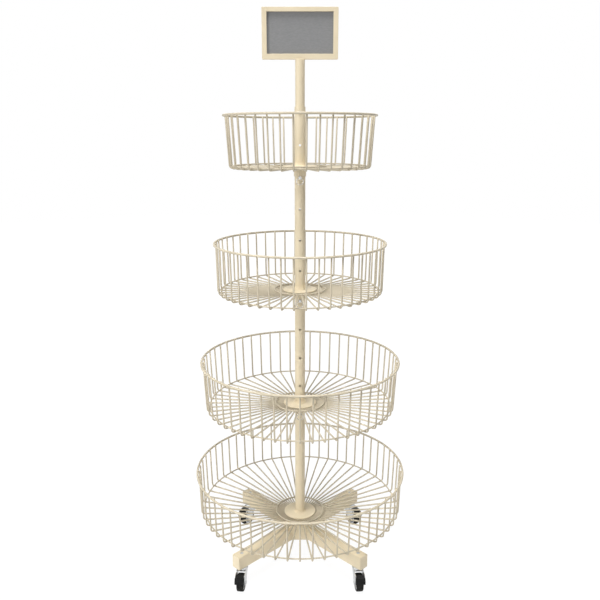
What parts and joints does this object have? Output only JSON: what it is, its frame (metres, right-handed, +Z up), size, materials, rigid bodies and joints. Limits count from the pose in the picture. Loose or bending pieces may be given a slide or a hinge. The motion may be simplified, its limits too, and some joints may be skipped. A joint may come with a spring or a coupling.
{
  "type": "tiered basket display stand",
  "caption": "Shop display stand with round wire baskets that turn on one pole, a card frame and braked casters.",
  "frame": {"origin": "on the floor, on the pole's axis", "axes": "+Z up along the pole, -Y to the front that the price card faces, +X to the right seen from the front"},
  "size_m": [0.6159, 0.616, 1.571],
  "materials": {
    "cream_coat": "satin powder coat",
    "zinc_plate": "zinc plated",
    "bright_steel": "bright steel",
    "grey_nylon": "moulded",
    "black_tread": "matte rubber",
    "black_plastic": "fine texture",
    "grey_card": "plain matte sheet"
  },
  "bodies": {
    "root": {"base_centre_box": "cream_coat", "base_bottom_plate": "cream_coat", "leg_front_left": "cream_coat", "leg_front_right": "cream_coat", "leg_back_right": "cream_coat", "leg_back_left": "cream_coat", "leg_end_caps": "cream_coat", "pole": "cream_coat", "sign_stem": "cream_coat", "sign_frame": "cream_coat", "caster_studs": "zinc_plate", "caster_nuts": "zinc_plate", "pole_foot_plug": "zinc_plate", "pole_bolt": "zinc_plate"},
    "snap_button": {"stem_button": "zinc_plate"},
    "price_card": {"sign_card": "grey_card"},
    "front_left_caster": {"front_left_fork": "zinc_plate", "front_left_axle": "zinc_plate"},
    "front_left_rolling_wheel": {"front_left_wheel": "grey_nylon", "front_left_tyre": "black_tread"},
    "front_left_pedal": {"front_left_brake_pedal": "black_plastic"},
    "front_right_caster": {"front_right_fork": "zinc_plate", "front_right_axle": "zinc_plate"},
    "front_right_rolling_wheel": {"front_right_wheel": "grey_nylon", "front_right_tyre": "black_tread"},
    "front_right_pedal": {"front_right_brake_pedal": "black_plastic"},
    "back_right_caster": {"back_right_fork": "zinc_plate", "back_right_axle": "zinc_plate"},
    "back_right_rolling_wheel": {"back_right_wheel": "grey_nylon", "back_right_tyre": "black_tread"},
    "back_right_pedal": {"back_right_brake_pedal": "black_plastic"},
    "back_left_caster": {"back_left_fork": "zinc_plate", "back_left_axle": "zinc_plate"},
    "back_left_rolling_wheel": {"back_left_wheel": "grey_nylon", "back_left_tyre": "black_tread"},
    "back_left_pedal": {"back_left_brake_pedal": "black_plastic"},
    "top_pin": {"top_basket_pin": "bright_steel"},
    "top_ring": {"top_pin_ring": "bright_steel"},
    "upper_pin": {"upper_basket_pin": "bright_steel"},
    "upper_ring": {"upper_pin_ring": "bright_steel"},
    "lower_pin": {"lower_basket_pin": "bright_steel"},
    "lower_ring": {"lower_pin_ring": "bright_steel"},
    "top_basket": {"top_basket_rim": "cream_coat", "top_basket_wires": "cream_coat", "top_basket_floor_rings": "cream_coat", "top_basket_hub": "cream_coat"},
    "upper_basket": {"upper_basket_rim": "cream_coat", "upper_basket_wires": "cream_coat", "upper_basket_floor_rings": "cream_coat", "upper_basket_hub": "cream_coat"},
    "lower_basket": {"lower_basket_rim": "cream_coat", "lower_basket_wires": "cream_coat", "lower_basket_floor_rings": "cream_coat", "lower_basket_hub": "cream_coat"},
    "bottom_basket": {"bottom_basket_rim": "cream_coat", "bottom_basket_wires": "cream_coat", "bottom_basket_floor_rings": "cream_coat", "bottom_basket_hub": "cream_coat"}
  },
  "joints": [
    {"name": "top_basket_turn", "type": "hinge", "parent": "root", "child": "top_basket", "pos_m": [0, 0, 1.17035], "axis": [0, 0, 1], "continuous": true},
    {"name": "upper_basket_turn", "type": "hinge", "parent": "root", "child": "upper_basket", "pos_m": [0, 0, 0.83155], "axis": [0, 0, 1], "continuous": true},
    {"name": "lower_basket_turn", "type": "hinge", "parent": "root", "child": "lower_basket", "pos_m": [0, 0, 0.49275], "axis": [0, 0, 1], "continuous": true},
    {"name": "bottom_basket_turn", "type": "hinge", "parent": "root", "child": "bottom_basket", "pos_m": [0, 0, 0.13685], "axis": [0, 0, 1], "continuous": true},
    {"name": "front_left_swivel", "type": "hinge", "parent": "root", "child": "front_left_caster", "pos_m": [-0.16476, -0.16476, 0.0602], "axis": [0, 0, 1], "continuous": true},
    {"name": "front_left_roll", "type": "hinge", "parent": "front_left_caster", "child": "front_left_rolling_wheel", "pos_m": [-0.16664, -0.18266, 0.025], "axis": [0.9945, -0.1045, 0], "continuous": true},
    {"name": "front_left_brake", "type": "hinge", "parent": "front_left_caster", "child": "front_left_pedal", "pos_m": [-0.1682, -0.19758, 0.0536], "axis": [-0.9945, 0.1045, 0], "range_deg": [0, 22]},
    {"name": "front_right_swivel", "type": "hinge", "parent": "root", "child": "front_right_caster", "pos_m": [0.16476, -0.16476, 0.0602], "axis": [0, 0, 1], "continuous": true},
    {"name": "front_right_roll", "type": "hinge", "parent": "front_right_caster", "child": "front_right_rolling_wheel", "pos_m": [0.16664, -0.18266, 0.025], "axis": [0.9945, 0.1045, 0], "continuous": true},
    {"name": "front_right_brake", "type": "hinge", "parent": "front_right_caster", "child": "front_right_pedal", "pos_m": [0.1682, -0.19758, 0.0536], "axis": [-0.9945, -0.1045, 0], "range_deg": [0, 22]},
    {"name": "back_right_swivel", "type": "hinge", "parent": "root", "child": "back_right_caster", "pos_m": [0.16476, 0.16476, 0.0602], "axis": [0, 0, 1], "continuous": true},
    {"name": "back_right_roll", "type": "hinge", "parent": "back_right_caster", "child": "back_right_rolling_wheel", "pos_m": [0.17508, 0.15001, 0.025], "axis": [0.8192, 0.5736, 0], "continuous": true},
    {"name": "back_right_brake", "type": "hinge", "parent": "back_right_caster", "child": "back_right_pedal", "pos_m": [0.18368, 0.13772, 0.0536], "axis": [-0.8192, -0.5736, 0], "range_deg": [0, 22]},
    {"name": "back_left_swivel", "type": "hinge", "parent": "root", "child": "back_left_caster", "pos_m": [-0.16476, 0.16476, 0.0602], "axis": [0, 0, 1], "continuous": true},
    {"name": "back_left_roll", "type": "hinge", "parent": "back_left_caster", "child": "back_left_rolling_wheel", "pos_m": [-0.17508, 0.15001, 0.025], "axis": [0.8192, -0.5736, 0], "continuous": true},
    {"name": "back_left_brake", "type": "hinge", "parent": "back_left_caster", "child": "back_left_pedal", "pos_m": [-0.18368, 0.13772, 0.0536], "axis": [-0.8192, 0.5736, 0], "range_deg": [0, 22]},
    {"name": "top_pin_pull", "type": "slide", "parent": "root", "child": "top_pin", "axis": [0, -1, 0], "range_m": [0, 0.05]},
    {"name": "top_ring_swing", "type": "hinge", "parent": "top_pin", "child": "top_ring", "pos_m": [0, -0.0225, 1.144], "axis": [-1, 0, 0], "range_deg": [-12, 95]},
    {"name": "upper_pin_pull", "type": "slide", "parent": "root", "child": "upper_pin", "axis": [0, -1, 0], "range_m": [0, 0.05]},
    {"name": "upper_ring_swing", "type": "hinge", "parent": "upper_pin", "child": "upper_ring", "pos_m": [0, -0.0225, 0.8052], "axis": [-1, 0, 0], "range_deg": [-12, 95]},
    {"name": "lower_pin_pull", "type": "slide", "parent": "root", "child": "lower_pin", "axis": [0, -1, 0], "range_m": [0, 0.05]},
    {"name": "lower_ring_swing", "type": "hinge", "parent": "lower_pin", "child": "lower_ring", "pos_m": [0, -0.0225, 0.4664], "axis": [-1, 0, 0], "range_deg": [-12, 95]},
    {"name": "card_lift", "type": "slide", "parent": "root", "child": "price_card", "axis": [0, 0, 1], "range_m": [0, 0.12]},
    {"name": "button_press", "type": "slide", "parent": "root", "child": "snap_button", "axis": [0, 1, 0], "range_m": [0, 0.0035], "stiffness_N_per_m": 400}
  ]
}
